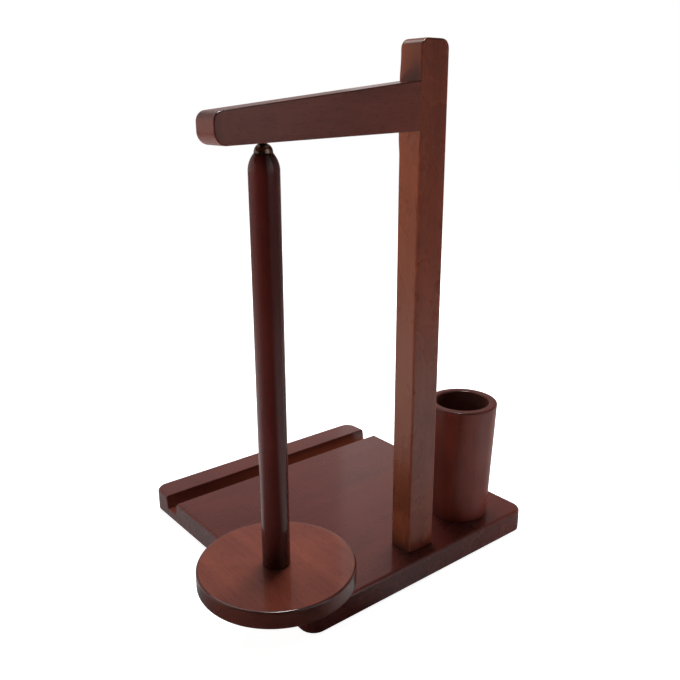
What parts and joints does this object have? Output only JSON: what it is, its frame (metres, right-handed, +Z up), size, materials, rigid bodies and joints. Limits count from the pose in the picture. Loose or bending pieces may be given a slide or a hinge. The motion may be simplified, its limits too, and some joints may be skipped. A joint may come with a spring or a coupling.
{
  "type": "yarn ball holder",
  "caption": "Wooden yarn ball holder: a spindle and round tray hang by a steel ball from a magnet in a tapered arm over a grooved base with a post and a turned tool cup.",
  "frame": {"origin": "on the table plane, under the middle of the holder's bounding box", "axes": "+Z up; +X along the arm and the groove, from the hanging spindle towards the tool cup; +Y from the post's side to the groove's side"},
  "size_m": [0.2344, 0.214, 0.3115],
  "materials": {
    "base_wood": "mahogany stain under satin lacquer",
    "post_wood": "mahogany stain under satin lacquer",
    "arm_wood": "mahogany stain under satin lacquer",
    "cup_wood": "mahogany stain under satin lacquer, turned",
    "spindle_wood": "dark mahogany stain under glossier lacquer, turned",
    "tray_wood": "mahogany stain under satin lacquer, turned",
    "dowel_wood": "bare birch",
    "ball_steel": "polished ball-bearing steel",
    "seat_brass": "pressed brass",
    "magnet_nickel": "nickel plated magnet",
    "screw_steel": "zinc plated wood screw",
    "pad_rubber": "matt dark rubber"
  },
  "bodies": {
    "stand": {"base_board": "base_wood", "foot_pads": "pad_rubber", "post": "post_wood", "post_screws": "screw_steel", "arm": "arm_wood", "arm_dowels": "dowel_wood", "arm_magnet": "magnet_nickel", "tool_cup": "cup_wood", "cup_screw": "screw_steel"},
    "ball": {"pivot_ball": "ball_steel"},
    "seat": {"ball_seat": "seat_brass"},
    "tip": {"tip_magnet": "magnet_nickel"},
    "spindle": {"spindle_rod": "spindle_wood", "tray_disc": "tray_wood", "tray_screw": "screw_steel"}
  },
  "joints": [
    {"name": "spindle_slide_off", "type": "slide", "parent": "stand", "child": "ball", "axis": [-0.9996, 0, -0.0289], "range_m": [0, 0.08]},
    {"name": "swing_in_out", "type": "hinge", "parent": "ball", "child": "seat", "pos_m": [-0.07418, -0.064, 0.25876], "axis": [0, 1, 0], "range_deg": [-12, 25]},
    {"name": "swing_sideways", "type": "hinge", "parent": "seat", "child": "tip", "pos_m": [-0.07418, -0.064, 0.25876], "axis": [1, 0, 0], "range_deg": [-25, 25]},
    {"name": "spindle_spin", "type": "hinge", "parent": "tip", "child": "spindle", "pos_m": [-0.07418, -0.064, 0.25876], "axis": [0, 0, 1], "continuous": true}
  ]
}
